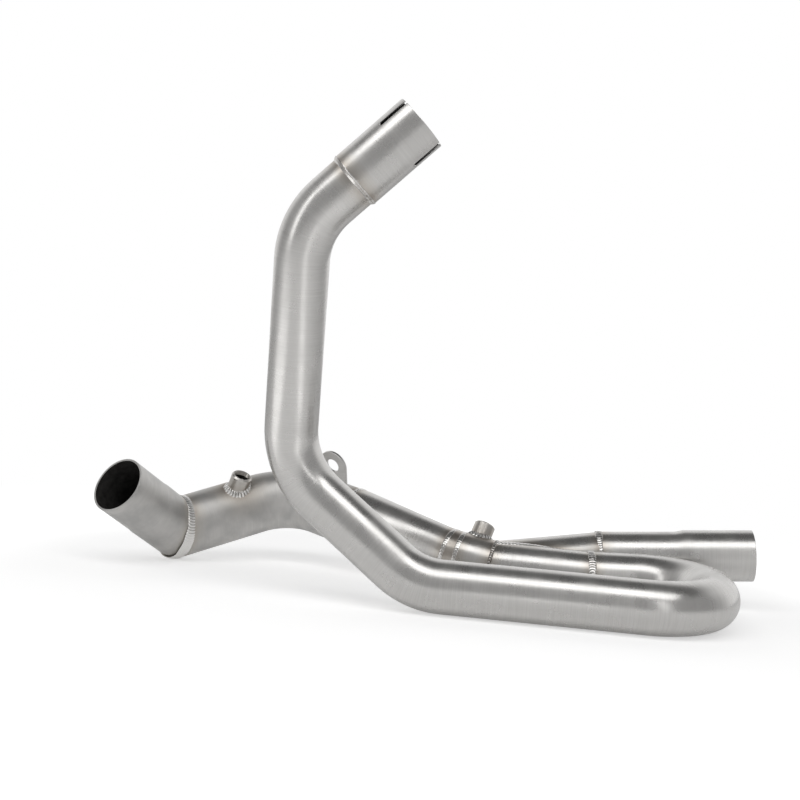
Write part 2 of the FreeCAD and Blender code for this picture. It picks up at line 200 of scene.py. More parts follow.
class Finish(bpy.types.PropertyGroup):
    """Colours of the metal"""
    steel: colour("Steel", "Satin stainless tube", (0.61, 0.60, 0.585))
    steel_dark: colour("Steel streak", "Darker streaks in the satin finish", (0.55, 0.54, 0.525))
    # Darker clouds on the outlet: partly its uneven as-welded tone, partly painted shade
    mottle_and_shade: colour("Mottle", "Darker clouds on the outlet, left as it was welded", (0.46, 0.455, 0.445))
    # Weld metal's own light tone, made lighter still as a painted highlight for the sheen the beads catch
    bead: colour("Bead", "Weld metal", (0.84, 0.83, 0.81))
    bead_tint: colour("Bead tint", "Burnt tint between the ripples", (0.085, 0.062, 0.045))
    straw: colour("Straw tint", "Outer heat tint", (0.54, 0.49, 0.41))
    brown: colour("Brown tint", "Inner heat tint", (0.225, 0.175, 0.14))
    # Painted shade: the bore colour is near black so that the inside of the tubes reads as shaded
    bore: colour("Bore", "Sooted inside of the tubes", (0.022, 0.021, 0.020))
    roughness: share("Roughness", "Roughness of the satin finish", 0.28)
    dull_roughness: share("Dull roughness", "Roughness of the outlet, left as it was welded", 0.48)


class StageSettings(bpy.types.PropertyGroup):
    """Camera, floor and studio light"""
    camera_right: length("Camera right", "Camera's place, right of the front leg's left corner", 106.9)
    camera_front: length("Camera front", "Camera's place, in front of the front leg", 1141.5)
    camera_height: length("Camera height", "Camera's place above the floor", 221.9)
    camera_heading: angle("Camera heading", "Turn of the view to the left", 6.69)
    camera_tilt: angle("Camera tilt", "Tilt of the view, up from level", -1.44)
    camera_roll: angle("Camera roll", "Roll of the view", 4.54)
    lens: number("Lens", "Focal length on a 36 mm sensor", 56.25)
    floor: colour("Floor", "Pale floor", (0.90, 0.90, 0.90))
    floor_size: length("Floor size", "Side of the floor sheet", 12000)
    floor_glow: share("Floor glow", "Share of the floor's own light beside the pipe", 0.2)
    floor_mirrored: share("Floor mirrored", "Share of the floor's own light that the metal shows", 0.08)
    floor_light: number("Floor light", "Strength of that light", 2.36)
    floor_near: length("Floor near", "Where the floor starts to fade to white", 380)
    floor_far: length("Floor far", "Where the floor is white", 900)
    target_height: length("Target height", "Height of the point that the softboxes face", 120)
    panel_height: length("Panel height", "Height of the white panels above the floor", 4)
    bounce: number("Bounce", "Brightness of the floor panels", 0.72)
    room_front: share("Room in front", "Grey of the room on the camera's side", 0.40)
    room_back: share("Room behind", "White of the backdrop side", 1.0)
    room_ceiling: share("Ceiling", "Grey of the ceiling", 0.12)
    backdrop_start: share("Backdrop start", "How far back the backdrop starts to fade in", 0.05)
    backdrop_end: share("Backdrop end", "How far back the backdrop is white", 0.6)
    ceiling_start: share("Ceiling start", "How far up the ceiling starts to fade in", 0.62)
    ceiling_end: share("Ceiling end", "How far up the ceiling is dark", 0.85)


def loop_sizes():
    return bpy.context.scene.link_pipe_loop


def outlet_sizes():
    return bpy.context.scene.link_pipe_outlet


def weld_sizes():
    return bpy.context.scene.link_pipe_welds


def metal_finish():
    return bpy.context.scene.link_pipe_finish


# Layout: the centre lines, from the sizes and from the places of the mounts in the frame


def across(vector, axis):
    """Unit vector of a vector's share that is square to an axis."""
    return (vector - axis * vector.dot(axis)).normalized()


def towards(heading, climb):
    """Direction of a run that goes left, turned away from the front by heading, and climbs."""
    level = math.cos(climb)
    return Vector((-level * math.cos(heading), level * math.sin(heading), math.sin(climb)))


def radial(axis, clock):
    """Direction square to an axis, turned from upright towards the front by an angle."""
    top = across(UP, axis)
    side = across(FRONT - top * FRONT.dot(top), axis)
    return top * math.cos(clock) + side * math.sin(clock)


def half_turn(before, after):
    return math.tan(before.angle(after) / 2)


def mount_length(name):
    return mounts[name]["dims"]["length_mm"] * MM


def mount_end(name):
    """Outer end of a mount's wall, and the direction that it faces."""
    mount = mounts[name]
    axis = Vector(mount["axis"]).normalized()
    return Vector(mount["pos_m"]) + axis * (mount_length(name) / 2), axis


def mount_radius(name):
    return mounts[name]["dims"]["r_mm"] * MM


def layout():
    """Corners, axes and joints of the pipe, in the frame."""
    loop, out = loop_sizes(), outlet_sizes()
    p = SimpleNamespace()
    p.tube_radius = loop.tube_diameter / 2
    p.socket_bore = mount_radius("rear_header_socket")
    p.socket_radius = p.socket_bore + loop.socket_wall
    p.branch_radius = out.branch_diameter / 2
    p.collector_radius = out.collector_diameter / 2
    p.outlet_radius = out.outlet_diameter / 2
    p.stub_radius = p.outlet_radius - out.stub_step

    # Loop tube, found from the rear mouth downwards
    p.rear_mouth, p.rear_axis = mount_end("rear_header_socket")
    p.rear_joint = p.rear_mouth - p.rear_axis * loop.socket_length
    p.rear_end = p.rear_joint + p.rear_axis * loop.socket_lap
    p.upright_head = p.rear_mouth - p.rear_axis * loop.rear_run
    p.upright_foot = p.upright_head - Vector(
        (loop.upright_lean_right, -loop.upright_lean_front, loop.upright_rise))
    p.front_left = p.upright_foot - Vector((-loop.diagonal_reach, loop.diagonal_offset, loop.diagonal_rise))
    p.front_right = p.front_left + Vector((loop.front_leg, 0, 0))
    p.return_corner = p.front_right + Vector((-loop.return_toe, loop.return_spacing, loop.return_rise))
    p.loop_end = p.return_corner + Vector((-loop.back_leg, -loop.back_leg_toe, -loop.back_leg_drop))
    p.back_leg_axis = (p.loop_end - p.return_corner).normalized()
    crossing = p.return_corner - p.front_right
    p.return_radius = crossing.length / (
        half_turn(p.front_right - p.front_left, crossing) + half_turn(crossing, p.back_leg_axis))

    # Front inlet and merge collector
    p.inlet_mouth, p.inlet_axis = mount_end("front_header_socket")
    spacing = loop.tube_diameter + loop.inlet_gap
    p.inlet_joint = p.loop_end + Vector((
        loop.inlet_stagger, spacing * math.cos(loop.inlet_clock), spacing * math.sin(loop.inlet_clock)))
    p.ring = Vector((p.loop_end.x - out.collector_length, p.loop_end.y + out.collector_shift,
                     p.collector_radius + out.collector_lift))
    p.outlet_axis = towards(out.collector_heading, out.collector_climb)
    p.lower_axis = (p.loop_end - p.ring).normalized()
    p.upper_axis = (p.inlet_joint - p.ring).normalized()
    p.merge_axis = (p.lower_axis + p.upper_axis).normalized()
    p.merge_normal = (p.upper_axis - p.lower_axis).normalized()
    p.crotch_reach = p.branch_radius / math.sin(p.lower_axis.angle(p.upper_axis) / 2)

    # Wedge, riser and outlet
    p.wedge_start = p.ring + p.outlet_axis * out.collector_outlet
    p.riser_axis = towards(out.riser_heading, out.riser_climb)
    p.wedge_axis = (p.outlet_axis + p.riser_axis).normalized()
    p.wedge_end = p.wedge_start + p.wedge_axis * out.wedge_length
    p.wedge_start_normal = (p.outlet_axis + p.wedge_axis).normalized()
    p.wedge_end_normal = (p.wedge_axis + p.riser_axis).normalized()
    p.crest = p.wedge_end + p.riser_axis * out.riser_run
    p.stub_mouth, p.stub_axis = mount_end("outlet_spigot")
    p.outlet_corner = p.stub_mouth - p.stub_axis * out.stub_length
    p.from_corner = (p.crest - p.outlet_corner).normalized()
    p.mitre_normal = (p.from_corner - p.stub_axis).normalized()
    p.mitre_side = p.from_corner.cross(p.stub_axis).normalized()
    p.mitre_inside = (p.from_corner + p.stub_axis).normalized()
    p.mitre_long = p.outlet_radius / math.sin(p.from_corner.angle(p.stub_axis) / 2)
    p.riser_end = p.crest - p.riser_axis * (
        out.outlet_bend * half_turn(p.riser_axis, -p.from_corner) + out.crest_run)

    # Hanger tab
    hanger = mounts["hanger_hole"]
    p.tab_hole = Vector(hanger["pos_m"])
    p.tab_face = Vector(hanger["axis"]).normalized()
    p.tab_thickness = mount_length("hanger_hole")
    from_line = p.tab_hole - p.riser_end
    p.tab_foot = p.riser_end + p.riser_axis * from_line.dot(p.riser_axis)
    p.tab_up = (p.tab_hole - p.tab_foot).normalized()
    return p


# Seams: each gives a point, the direction out of the metal and the direction across the bead


def ring_seam(centre, axis, radius, lean=0.0):
    """Seam round a joint; lean tips the bead along the axis, for a step from one tube to another."""
    top = across(UP, axis)
    side = axis.cross(top)

    def at(turn):
        spoke = top * math.cos(turn * math.tau) + side * math.sin(turn * math.tau)
        outward = (spoke + axis * lean).normalized()
        return centre + spoke * radius, outward, across(axis, outward)

    return at


def mitre_seam(p):
    """Seam of the mitred corner: half an ellipse inside, half a circle outside."""
    def at(turn):
        c, s = math.cos(turn * math.tau), math.sin(turn * math.tau)
        reach = p.mitre_long if c > 0 else p.outlet_radius
        place = p.mitre_inside * (reach * c) + p.mitre_side * (p.outlet_radius * s)
        outward = (p.mitre_inside * (p.outlet_radius * c) + p.mitre_side * (reach * s)).normalized()
        return p.outlet_corner + place, outward, p.mitre_normal

    return at


def crotch_seam(p, side, stop):
    """Seam between the two branches, on their shared ellipse, from the ring to near its tip."""
    rise = across(side - p.merge_normal * side.dot(p.merge_normal), p.merge_axis)

    def at(turn):
        place = math.pi / 2 + (stop - math.pi / 2) * turn
        c, s = math.cos(place), math.sin(place)
        point = p.ring + p.merge_axis * (p.crotch_reach * c) + rise * (p.branch_radius * s)
        outward = (p.merge_axis * (p.branch_radius * c) + rise * (p.crotch_reach * s)).normalized()
        return point, outward, p.merge_normal

    return at


def boss_seam(name, line_point, line_axis, tube_radius, boss_radius):
    """Seam where a boss meets the round of its tube."""
    head, axis = mount_end(name)
    first = across(line_axis, axis)
    second = axis.cross(first)

    def at(turn):
        spoke = first * math.cos(turn * math.tau) + second * math.sin(turn * math.tau)
        start = head + spoke * boss_radius - line_point
        start -= line_axis * start.dot(line_axis)
        fall = axis - line_axis * axis.dot(line_axis)
        b = start.dot(fall)
        a = fall.length_squared
        drop = (b - math.sqrt(b * b - a * (start.length_squared - tube_radius ** 2))) / a
        surface = (start - fall * drop).normalized()
        outward = (spoke + surface).normalized()
        return head + spoke * boss_radius - axis * drop, outward, (surface - spoke).normalized()

    return at


def tab_seam(p, width):
    """Seam round the foot of the hanger tab."""
    half = p.tab_thickness / 2
    run = width / (2 * width + math.tau * half)
    rounding = 0.5 - run

    def at(turn):
        side, rest = (1, turn) if turn < 0.5 else (-1, turn - 0.5)
        along = min(rest / run, 1.0)
        swing = max(0.0, (rest - run) / rounding) * math.pi
        spoke = (p.tab_face * math.cos(swing) + p.riser_axis * math.sin(swing)) * side
        place = p.riser_axis * ((along - 0.5) * width * side) + spoke * half
        height = math.sqrt(p.outlet_radius ** 2 - half ** 2)
        outward = (spoke + p.tab_up).normalized()
        return p.tab_foot + place + p.tab_up * height, outward, (p.tab_up - spoke).normalized()

    return at


Seam = namedtuple("Seam", "kind at length")


def boss_seats(p):
    """Run that each sensor boss stands on, with the centre line and the radius of its tube."""
    return (("outlet", p.outlet_corner, p.from_corner, p.outlet_radius),
            ("collector", p.ring, p.outlet_axis, p.collector_radius))


def seams(p):
    """Every weld: the kind of its bead, its seam and the length of that."""
    out, weld = outlet_sizes(), weld_sizes()
    boss_radius = out.boss_diameter / 2
    step_radius = (p.socket_radius + p.tube_radius) / 2
    step_lean = -0.6
    rings = {
        "rear_socket_weld": ("dressed", p.rear_joint, p.rear_axis, step_radius, step_lean),
        "loop_collector_weld": ("browned", p.loop_end, p.back_leg_axis, p.tube_radius),
        "inlet_collector_weld": ("browned", p.inlet_joint, p.inlet_axis, p.tube_radius),
        "collector_ring_weld": ("thin", p.ring, p.outlet_axis, p.collector_radius),
        "wedge_inner_weld": ("flush", p.wedge_start, p.wedge_start_normal, p.collector_radius),
        "wedge_outer_weld": ("flush", p.wedge_end, p.wedge_end_normal, p.collector_radius),
        "riser_weld": ("butt", p.riser_end, p.riser_axis, p.outlet_radius),
    }
    found = {}
    for name, (kind, centre, axis, radius, *lean) in rings.items():
        found[name] = Seam(kind, ring_seam(centre, axis, radius, *lean), math.tau * radius)
    found["mitre_weld"] = Seam("mitre", mitre_seam(p), math.pi * (p.outlet_radius + p.mitre_long))
    for name, side in (("crotch_seam_weld_top", UP), ("crotch_seam_weld_bottom", -UP)):
        found[name] = Seam("crotch", crotch_seam(p, side, weld.crotch_stop), p.crotch_reach)
    for run, line_point, line_axis, tube_radius in boss_seats(p):
        at = boss_seam(f"{run}_sensor_thread", line_point, line_axis, tube_radius, boss_radius)
        found[f"{run}_boss_weld"] = Seam("boss", at, math.tau * boss_radius)
    round_tab = 2 * out.tab_width + math.pi * p.tab_thickness
    found["hanger_tab_weld"] = Seam("tab", tab_seam(p, out.tab_width), round_tab)
    return found


def heat_map(p):
    """Trees of points along the seams, to tint the metal beside them, each with its reach."""
    weld = weld_sizes()
    every_seam = seams(p).values()
    found = []
    for reach, round_boss in ((weld.heat_reach, False), (weld.boss_heat_reach, True)):
        points = []
        for seam in every_seam:
            if (seam.kind == "boss") == round_boss:
                count = round(seam.length / HEAT_STEP)
                points += [seam.at(step / count)[0] for step in range(count)]
        tree = kdtree.KDTree(len(points))
        for index, point in enumerate(points):
            tree.insert(point, index)
        tree.balance()
        found.append((tree, reach))
    return found


# Modelling steps


def pick_only(piece):
    bpy.ops.object.select_all(action="DESELECT")
    piece.select_set(True)
    bpy.context.view_layer.objects.active = piece


def add(name, primitive, **settings):
    """Add a primitive with nothing else selected, and name it."""
    bpy.ops.object.select_all(action="DESELECT")
    primitive(**settings)
    piece = bpy.context.object
    piece.name = piece.data.name = name
    return piece


def edit(piece):
    """Go into edit mode with everything on the piece selected."""
    pick_only(piece)
    bpy.ops.object.mode_set(mode="EDIT")
    bpy.ops.mesh.select_all(action="SELECT")


def leave_edit():
    bpy.ops.object.mode_set(mode="OBJECT")


def pick_points(piece, chosen):
    """Go into edit mode with only those points selected whose places are chosen."""
    edit(piece)
    bpy.ops.mesh.select_all(action="DESELECT")
    leave_edit()
    for vertex in piece.data.vertices:
        vertex.select = chosen(vertex.co)
    bpy.ops.object.mode_set(mode="EDIT")


def align_faces():
    """Turn all faces of the piece in edit mode the same way, and leave edit mode."""
    bpy.ops.mesh.select_all(action="SELECT")
    bpy.ops.mesh.normals_make_consistent(inside=False)
    leave_edit()


def aim(axis):
    """Turn that points a primitive's own Z along an axis."""
    return axis.to_track_quat("Z", "Y").to_euler()


def settle():
    bpy.ops.object.transform_apply(location=True, rotation=True, scale=True)


def modify(piece, kind, **settings):
    """Add a modifier and apply it."""
    pick_only(piece)
    bpy.ops.object.modifier_add(type=kind)
    modifier = piece.modifiers[-1]
    for name, value in settings.items():
        setattr(modifier, name, value)
    bpy.ops.object.modifier_apply(modifier=modifier.name)


class TubeWork:
    """A tube's outer skin, drawn ring by ring along its centre line."""

    def __init__(self, name, start, axis, radius, sides=TUBE_SIDES):
        self.piece = add(name, bpy.ops.mesh.primitive_circle_add, vertices=sides, radius=radius,
                         location=start, rotation=aim(axis))
        settle()
        edit(self.piece)
        self.start, self.first_axis = start.copy(), axis.normalized()
        self.place, self.axis = self.start.copy(), self.first_axis.copy()
        self.sides, self.radius = sides, radius
        self.rings = [(0.0, radius)]

    def ring(self, advance, radius):
        """One more ring, further along the axis and as wide as given."""
        bpy.ops.mesh.extrude_edges_move(TRANSFORM_OT_translate={"value": self.axis * advance})
        self.place = self.place + self.axis * advance
        if radius != self.radius:
            scale = radius / self.radius
            bpy.ops.transform.resize(value=(scale, scale, scale), center_override=self.place)
        self.radius = radius
        self.rings.append((self.rings[-1][0] + abs(advance), radius))

    def straight(self, distance, radius=None):
        """A straight run, which widens or narrows if it is given another radius to end at."""
        count = max(1, math.ceil(distance / RING_STEP - STEP_SLACK))
        first = self.radius
        last = first if radius is None else radius
        for step in range(1, count + 1):
            self.ring(distance / count, first + (last - first) * step / count)

    def bend(self, onward, bend_radius):
        """A round bend to a new direction."""
        turn = self.axis.angle(onward)
        hinge = self.axis.cross(onward).normalized()
        centre = self.place + hinge.cross(self.axis) * bend_radius
        steps = max(2, math.ceil(turn / BEND_STEP))
        bpy.ops.mesh.spin(steps=steps, angle=-turn, center=centre, axis=hinge)
        for _ in range(steps):
            self.rings.append((self.rings[-1][0] + bend_radius * turn / steps, self.radius))
        self.place = centre + Quaternion(hinge, turn) @ (self.place - centre)
        self.axis = onward.normalized()

    def follow(self, corners, radii):
        """Straight runs from corner to corner, with a bend at each inner one."""
        for corner, after, bend_radius in zip(corners[1:], corners[2:], radii):
            onward = (after - corner).normalized()
            run = (corner - self.place).length - bend_radius * half_turn(self.axis, onward)
            if run > CLOSE:
                self.straight(run)
            self.bend(onward, bend_radius)
        self.straight((corners[-1] - self.place).length)

    def dome(self, sweep):
        """The first part of a half sphere past the tube's end."""
        whole = self.radius
        for step in range(DOME_STEPS):
            here, there = sweep * step / DOME_STEPS, sweep * (step + 1) / DOME_STEPS
            self.ring(whole * (math.sin(there) - math.sin(here)), whole * math.cos(there))

    def skin(self):
        """Leave edit mode and keep on each point its place on the tube as if it were straight."""
        leave_edit()
        mesh = self.piece.data
        if len(mesh.vertices) != self.sides * len(self.rings):
            raise RuntimeError(f"{self.piece.name} has {len(mesh.vertices)} points, not whole rings")
        lay = []
        for along, radius in self.rings:
            for side in range(self.sides):
                turn = math.tau * side / self.sides
                lay += [radius * math.cos(turn), radius * math.sin(turn), along]
        mesh.attributes.new("lay", "FLOAT_VECTOR", "POINT").data.foreach_set("vector", lay)
        return self.piece


def trim(piece, point, normal):
    """Cut off what lies on the side of a plane that its normal points to."""
    edit(piece)
    bpy.ops.mesh.bisect(plane_co=point, plane_no=normal, use_fill=False, clear_inner=False, clear_outer=True)
    leave_edit()


def face_outwards(piece, inner_point):
    """Turn all faces the same way, away from a point that lies behind the first one."""
    edit(piece)
    align_faces()
    face = piece.data.polygons[0]
    if face.normal.dot(face.center - inner_point) < 0:
        edit(piece)
        bpy.ops.mesh.flip_normals()
        leave_edit()


def tint(piece, heat):
    """Keep on each point how much the welds beside it have heated it."""
    fall = 1.5
    values = []
    for vertex in piece.data.vertices:
        nearness = max(1 - tree.find(vertex.co)[2] / reach for tree, reach in heat)
        values.append(max(0.0, nearness) ** fall)
    piece.data.attributes.new("weld_heat", "FLOAT", "POINT").data.foreach_set("value", values)


def break_edges(piece):
    """Bevel the sharp edges that a cut leaves."""
    modify(piece, "BEVEL", width=outlet_sizes().edge_break, segments=2, limit_method="ANGLE",
           angle_limit=EDGE_ANGLE)


def thicken(piece, wall, inner_point):
    """Give a skin its wall, inwards, and break its edges.

    The bore takes the second material, the painted shade inside the tube, so both are on the skin before it
    gets its wall."""
    face_outwards(piece, inner_point)
    for material in (tube_metal("satin_tube"), shaded_bore_metal("painted_shade_bore")):
        piece.data.materials.append(material)
    modify(piece, "SOLIDIFY", thickness=wall, offset=-1, use_even_offset=True, material_offset=1,
           material_offset_rim=0)
    break_edges(piece)


def cut_with(piece, cutter):
    """Take a cutter's shape out of a piece."""
    modify(piece, "BOOLEAN", object=cutter, operation="DIFFERENCE", solver="EXACT")
    bpy.data.objects.remove(cutter)


def drill(piece, start, end, radius):
    """Drill a round hole from one point to another."""
    cut_with(piece, add(
        "drill", bpy.ops.mesh.primitive_cylinder_add, vertices=TUBE_SIDES, radius=radius,
        depth=(end - start).length, location=(start + end) / 2, rotation=aim(end - start)))


def complete(piece, node, slot, *materials, smooth=SMOOTH_ANGLE):
    """Smooth a piece, give it its metal and let it stand for its node."""
    if not piece.data.polygons:
        raise RuntimeError(f"{piece.name} has no faces")
    pick_only(piece)
    bpy.ops.object.shade_smooth_by_angle(angle=smooth)
    indices = [face.material_index for face in piece.data.polygons]
    piece.data.materials.clear()
    for material in materials:
        piece.data.materials.append(material)
    piece.data.polygons.foreach_set("material_index", [min(i, len(materials) - 1) for i in indices])
    piece.data.update()
    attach(piece, "root")
    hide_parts(node)


# Metals

# Brush marks in a metre, two ways across the lay and along it
TUBE_MARKS = (30, 30, 1100)
BOSS_MARKS = (18, 18, 2200)
PLATE_MARKS = (90, 90, 1500)

# Coarseness of the uneven patches in each finish, as waves in a metre
CLOUDS = 38
# Patches in the painted shade inside the tubes
BORE_SHADE_PATCHES = 140
BEAD_PATCHES = 75
BEAD_GRAIN = 1400

# Noise lies about a half, and most of it between these two
NOISE_LOW = 0.3
NOISE_HIGH = 0.7


def made_once(make):
    """Let the maker of a material run once, and give the same material after that."""
    def give(name):
        return bpy.data.materials.get(name) or make(name)

    return give


def new_metal(name):
    """Material with a plain metal shader, and its node tree."""
    material = bpy.data.materials.new(name)
    material.use_nodes = True
    shader = material.node_tree.nodes["Principled BSDF"]
    shader.inputs["Metallic"].default_value = 1.0
    return material, material.node_tree, shader


def kept_on_mesh(tree, name):
    """Node that reads what is kept on each point of the mesh under a name."""
    node = tree.nodes.new("ShaderNodeAttribute")
    node.attribute_name = name
    return node


def noise(tree, place, scale, detail=2.0, roughness=0.5):
    """Noise at a place."""
    node = tree.nodes.new("ShaderNodeTexNoise")
    for name, value in (("Scale", scale), ("Detail", detail), ("Roughness", roughness)):
        node.inputs[name].default_value = value
    tree.links.new(place, node.inputs["Vector"])
    return node.outputs["Fac"]


def product(tree, first, second):
    """Two values multiplied."""
    node = tree.nodes.new("ShaderNodeMath")
    node.operation = "MULTIPLY"
    tree.links.new(first, node.inputs[0])
    tree.links.new(second, node.inputs[1])
    return node.outputs[0]


def ramp(tree, source, start, end, low=0.0, high=1.0, shape="LINEAR"):
    """Value that goes from low to high while its source goes from start to end."""
    node = tree.nodes.new("ShaderNodeMapRange")
    node.interpolation_type = shape
    for name, value in (("From Min", start), ("From Max", end), ("To Min", low), ("To Max", high)):
        node.inputs[name].default_value = value
    tree.links.new(source, node.inputs["Value"])
    return node.outputs["Result"]


def spread(tree, source, low, high):
    """Noise, spread from low to high."""
    return ramp(tree, source, NOISE_LOW, NOISE_HIGH, low, high)


def blend(tree, factor, first, second):
    """Mix of two colours, each a socket or a plain colour."""
    node = tree.nodes.new("ShaderNodeMix")
    node.data_type = "RGBA"
    tree.links.new(factor, node.inputs["Factor"])
    for socket, value in ((node.inputs[6], first), (node.inputs[7], second)):
        if isinstance(value, bpy.types.NodeSocket):
            tree.links.new(value, socket)
        else:
            socket.default_value = (*value, 1)
    return node.outputs[2]


def bump(tree, height, shader, strength, depth):
    """Let a height raise the shader's surface."""
    node = tree.nodes.new("ShaderNodeBump")
    node.inputs["Strength"].default_value = strength
    node.inputs["Distance"].default_value = depth
    tree.links.new(height, node.inputs["Height"])
    tree.links.new(node.outputs["Normal"], shader.inputs["Normal"])


def brush_marks_group():
    """Fine marks round a tube and slow clouds along it, from its straightened place."""
    found = bpy.data.node_groups.get("brush_marks")
    if found:
        return found
    tree = bpy.data.node_groups.new("brush_marks", "ShaderNodeTree")
    for way, kind, names in (("INPUT", "NodeSocketVector", ("Lay", "Across")),
                             ("OUTPUT", "NodeSocketFloat", ("Marks", "Clouds"))):
        for name in names:
            tree.interface.new_socket(name, in_out=way, socket_type=kind)
    entry, leave = tree.nodes.new("NodeGroupInput"), tree.nodes.new("NodeGroupOutput")
    stretch = tree.nodes.new("ShaderNodeVectorMath")
    stretch.operation = "MULTIPLY"
    tree.links.new(entry.outputs["Lay"], stretch.inputs[0])
    tree.links.new(entry.outputs["Across"], stretch.inputs[1])
    marks = noise(tree, stretch.outputs[0], scale=1.0, roughness=0.65)
    tree.links.new(marks, leave.inputs["Marks"])
    tree.links.new(noise(tree, entry.outputs["Lay"], CLOUDS, detail=3.0), leave.inputs["Clouds"])
    return tree


def brushed(tree, lay, across):
    """Brush marks and clouds of a metal, from its lay."""
    brush = tree.nodes.new("ShaderNodeGroup")
    brush.node_tree = brush_marks_group()
    brush.inputs["Across"].default_value = across
    tree.links.new(lay, brush.inputs["Lay"])
    return brush.outputs["Marks"], brush.outputs["Clouds"]


def streaked(tree, marks):
    """Colour of steel that is darker along its brush marks."""
    finish = metal_finish()
    return blend(tree, spread(tree, marks, 0.0, 1.0), finish.steel_dark, finish.steel)


def heated(tree, clouds, metal):
    """Colour of a metal with its heat tint, from straw to brown, uneven with the clouds."""
    finish = metal_finish()
    heat = kept_on_mesh(tree, "weld_heat").outputs["Fac"]
    uneven = product(tree, heat, spread(tree, clouds, 0.45, 1.0))
    tones = tree.nodes.new("ShaderNodeValToRGB")
    tones.color_ramp.elements[0].color = (*finish.straw, 1)
    tones.color_ramp.elements[1].color = (*finish.brown, 1)
    tree.links.new(uneven, tones.inputs["Fac"])
    return blend(tree, uneven, metal, tones.outputs["Color"])


@made_once
def tube_metal(name):
    """Stainless brushed round the tube, satin or dull, with heat tint beside the welds; the dull one is
    darker in clouds, partly as painted shade.
    """
    finish = metal_finish()
    dull = name == "dull_tube"
    roughness = finish.dull_roughness if dull else finish.roughness
    material, tree, shader = new_metal(name)
    lay = kept_on_mesh(tree, "lay").outputs["Vector"]
    marks, clouds = brushed(tree, lay, TUBE_MARKS)
    metal = streaked(tree, marks)
    if dull:
        # Darker clouds on the dull outlet: partly its uneven as-welded tone, partly painted shade
        metal = blend(tree, spread(tree, clouds, 1.3, -0.5), metal, finish.mottle_and_shade)
    tree.links.new(heated(tree, clouds, metal), shader.inputs["Base Color"])
    dullness = spread(tree, clouds, roughness - 0.05, roughness + 0.07)
    tree.links.new(dullness, shader.inputs["Roughness"])
    bump(tree, marks, shader, strength=0.08, depth=0.06 * MM)
    return material


@made_once
def shaded_bore_metal(name):
    """Painted shade inside a tube: near black, uneven in patches, and with no reflection."""
    finish = metal_finish()
    material, tree, shader = new_metal(name)
    place = tree.nodes.new("ShaderNodeTexCoord").outputs["Object"]
    painted_shade = noise(tree, place, BORE_SHADE_PATCHES, detail=4.0)
    paler = [2 * part for part in finish.bore]
    bore_shade_colour = blend(tree, spread(tree, painted_shade, 0.0, 1.0), finish.bore, paler)
    tree.links.new(bore_shade_colour, shader.inputs["Base Color"])
    tree.links.new(spread(tree, painted_shade, 0.7, 0.9), shader.inputs["Roughness"])
    # No metal and no reflection, so that the inside stays dark as painted shade
    shader.inputs["Metallic"].default_value = 0.0
    shader.inputs["Specular IOR Level"].default_value = 0.0
    return material


@made_once
def bead_metal(name):
    """Weld metal, lighter than the steel partly as a painted highlight: bright on the ripples and burnt
    between them, more in some patches than in others.
    """
    finish = metal_finish()
    material, tree, shader = new_metal(name)
    place = tree.nodes.new("ShaderNodeTexCoord").outputs["Object"]
    patches = noise(tree, place, BEAD_PATCHES, detail=3.0)
    valley = kept_on_mesh(tree, "valley").outputs["Fac"]
    tinted = product(tree, spread(tree, patches, 0.6, 1.2), valley)
    bead_colour = blend(tree, tinted, finish.bead, finish.bead_tint)
    tree.links.new(bead_colour, shader.inputs["Base Color"])
    tree.links.new(spread(tree, patches, 0.15, 0.28), shader.inputs["Roughness"])
    grain = noise(tree, place, BEAD_GRAIN)
    bump(tree, grain, shader, strength=0.10, depth=0.08 * MM)
    return material


@made_once
def turned_metal(name):
    """Turned steel of the sensor bosses, with fine tool lines round them."""
    material, tree, shader = new_metal(name)
    lay = kept_on_mesh(tree, "lay").outputs["Vector"]
    marks, clouds = brushed(tree, lay, BOSS_MARKS)
    metal = streaked(tree, marks)
    tree.links.new(heated(tree, clouds, metal), shader.inputs["Base Color"])
    tree.links.new(spread(tree, clouds, 0.24, 0.34), shader.inputs["Roughness"])
    bump(tree, marks, shader, strength=0.25, depth=0.12 * MM)
    return material


@made_once
def plate_metal(name):
    """Cut plate of the hanger tab: satin, with a faint grain one way."""
    material, tree, shader = new_metal(name)
    place = tree.nodes.new("ShaderNodeTexCoord").outputs["Object"]
    marks, clouds = brushed(tree, place, PLATE_MARKS)
    tree.links.new(streaked(tree, marks), shader.inputs["Base Color"])
    tree.links.new(spread(tree, clouds, 0.28, 0.38), shader.inputs["Roughness"])
    bump(tree, marks, shader, strength=0.1, depth=0.06 * MM)
    return material


# Pieces

# How far each side of the mitred corner goes round its half sphere before it is cut
PAST_MITRE = math.radians(34)

# Cuts go well past the metal: a slot outwards by a share of the socket, a boss's seat along its tube
SLOT_PAST = 1.5
SEAT_BACK = 200 * MM
SEAT_AHEAD = 300 * MM

# A ripple trails at the bead's edges by a share of its length, and some are lower than others
RIPPLE_TRAIL = 0.45
RIPPLE_DIP = 0.12
RIPPLE_BEAT = 2.4

# A bead's width swings in waves along the seam (swing, count, start) and narrows between ripples
WIDTH_WAVES = ((0.05, 5, 0), (0.04, 11, 1))
SCALLOP = 0.16

# Shares that are left between two ripples of the crown, and in a notch's middle of the burnt tint
TROUGH = 0.5
NOTCH_MIDDLE = 0.6

# The mitred corner's bead is ground smooth below and rippled above, by how far up it faces
GROUND_BELOW = -0.45
RIPPLED_ABOVE = 0.05

BeadForm = namedtuple("BeadForm", "width crown relief burnt browned")


def finish_tube(work, wall, heat, cuts=()):
    """Turn a drawn skin into a finished tube, cut back at the given planes."""
    piece = work.skin()
    for point, normal in cuts:
        trim(piece, point, normal)
    tint(piece, heat)
    along = (piece.data.polygons[0].center - work.start).dot(work.first_axis)
    thicken(piece, wall, work.start + work.first_axis * along)
    return piece


def complete_tube(piece, node, metal="satin_tube"):
    """Complete a piece of tube, with painted shade inside."""
    complete(piece, node, "tube", tube_metal(metal), shaded_bore_metal("painted_shade_bore"))


